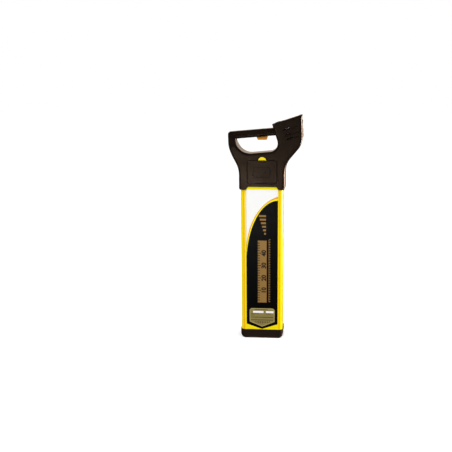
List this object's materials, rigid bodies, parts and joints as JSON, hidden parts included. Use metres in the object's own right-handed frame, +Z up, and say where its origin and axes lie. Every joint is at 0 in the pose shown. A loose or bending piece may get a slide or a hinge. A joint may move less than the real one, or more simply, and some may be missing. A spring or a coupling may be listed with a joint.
{
  "type": "cable locator",
  "caption": "Hand-held buried-cable locator: upright blade holding aerials, head with a loop handle and trigger, slanted display, nose loudspeaker and hinged battery door.",
  "frame": {"origin": "middle of the foot boot's flat underside, on the blade's centre line", "axes": "+Z up along the blade, +X towards the nose under the display, -Y the side with the battery door and label"},
  "size_m": [0.2488, 0.0869, 0.7591],
  "materials": {
    "head_black": "fine spark-eroded texture",
    "trim_black": "satin",
    "blade_yellow": "satin gloss",
    "boot_black": "moulded",
    "label_film": "printed film",
    "plate_film": "printed film",
    "trigger_amber": "satin",
    "latch_yellow": "satin",
    "button_black": "moulded",
    "seal_rubber": "soft",
    "window_clear": "polished",
    "display_grey": "smooth",
    "board_green": "solder mask",
    "inner_plastic": "moulded",
    "steel_screw": "zinc plated",
    "spring_steel": "drawn wire",
    "contact_steel": "nickel plated",
    "speaker_frame": "moulded",
    "cone_paper": "pressed paper",
    "cell_wrap": "shrink film",
    "ferrite": "sintered",
    "copper_winding": "enamelled wire",
    "foam_grey": "open foam",
    "cable_grey": "extruded"
  },
  "bodies": {
    "locator_body": {"head_shell_near": "head_black", "head_shell_far": "head_black", "blade_tube": "blade_yellow", "foot_boot": "boot_black", "foot_screws": "steel_screw", "shell_screws": "steel_screw", "side_label": "label_film", "data_plate": "plate_film", "neck_gasket": "seal_rubber", "display_bezel": "trim_black", "display_window": "window_clear", "display_panel": "display_grey", "display_board": "board_green", "tact_switches": "inner_plastic", "nose_grille": "trim_black", "loudspeaker": "speaker_frame", "speaker_cone": "cone_paper", "headphone_socket": "trim_black", "main_board": "board_green", "door_pin": "steel_screw", "latch_spring": "spring_steel", "battery_tray": "inner_plastic", "battery_holder": "inner_plastic", "battery_cells": "cell_wrap", "battery_contacts": "contact_steel", "trigger_pin": "steel_screw", "trigger_spring": "spring_steel", "trigger_switch": "speaker_frame", "aerial_carrier": "inner_plastic", "lower_aerial_core": "ferrite", "lower_aerial_coil": "copper_winding", "upper_aerial_core": "ferrite", "upper_aerial_coil": "copper_winding", "foam_blocks": "foam_grey", "preamp_board": "board_green", "aerial_cable": "cable_grey"},
    "trigger": {"trigger": "trigger_amber"},
    "battery_door": {"battery_door": "head_black", "door_gasket": "seal_rubber"},
    "door_latch": {"door_latch": "latch_yellow"},
    "mode_button": {"mode_button": "button_black"},
    "info_button": {"info_button": "button_black"}
  },
  "joints": [
    {"name": "trigger_pull", "type": "hinge", "parent": "locator_body", "child": "trigger", "pos_m": [0.011, 0, 0.695], "axis": [0, 1, 0], "range_deg": [0, 7], "stiffness_Nm_per_rad": 0.6, "springref_deg": -5.73, "deforming": ["trigger_spring"]},
    {"name": "battery_door_hinge", "type": "hinge", "parent": "locator_body", "child": "battery_door", "pos_m": [0.0015, -0.0395, 0.5427], "axis": [1, 0, 0], "range_deg": [0, 90]},
    {"name": "latch_slide", "type": "slide", "parent": "locator_body", "child": "door_latch", "axis": [0, 0, 1], "range_m": [0, 0.0025], "stiffness_N_per_m": 1200, "springref_m": -0.001, "deforming": ["latch_spring"]},
    {"name": "mode_button_press", "type": "slide", "parent": "locator_body", "child": "mode_button", "axis": [0.309, 0, -0.9511], "range_m": [0, 0.001], "stiffness_N_per_m": 1500, "springref_m": -0.0005},
    {"name": "info_button_press", "type": "slide", "parent": "locator_body", "child": "info_button", "axis": [0.309, 0, -0.9511], "range_m": [0, 0.001], "stiffness_N_per_m": 1500, "springref_m": -0.0005}
  ]
}
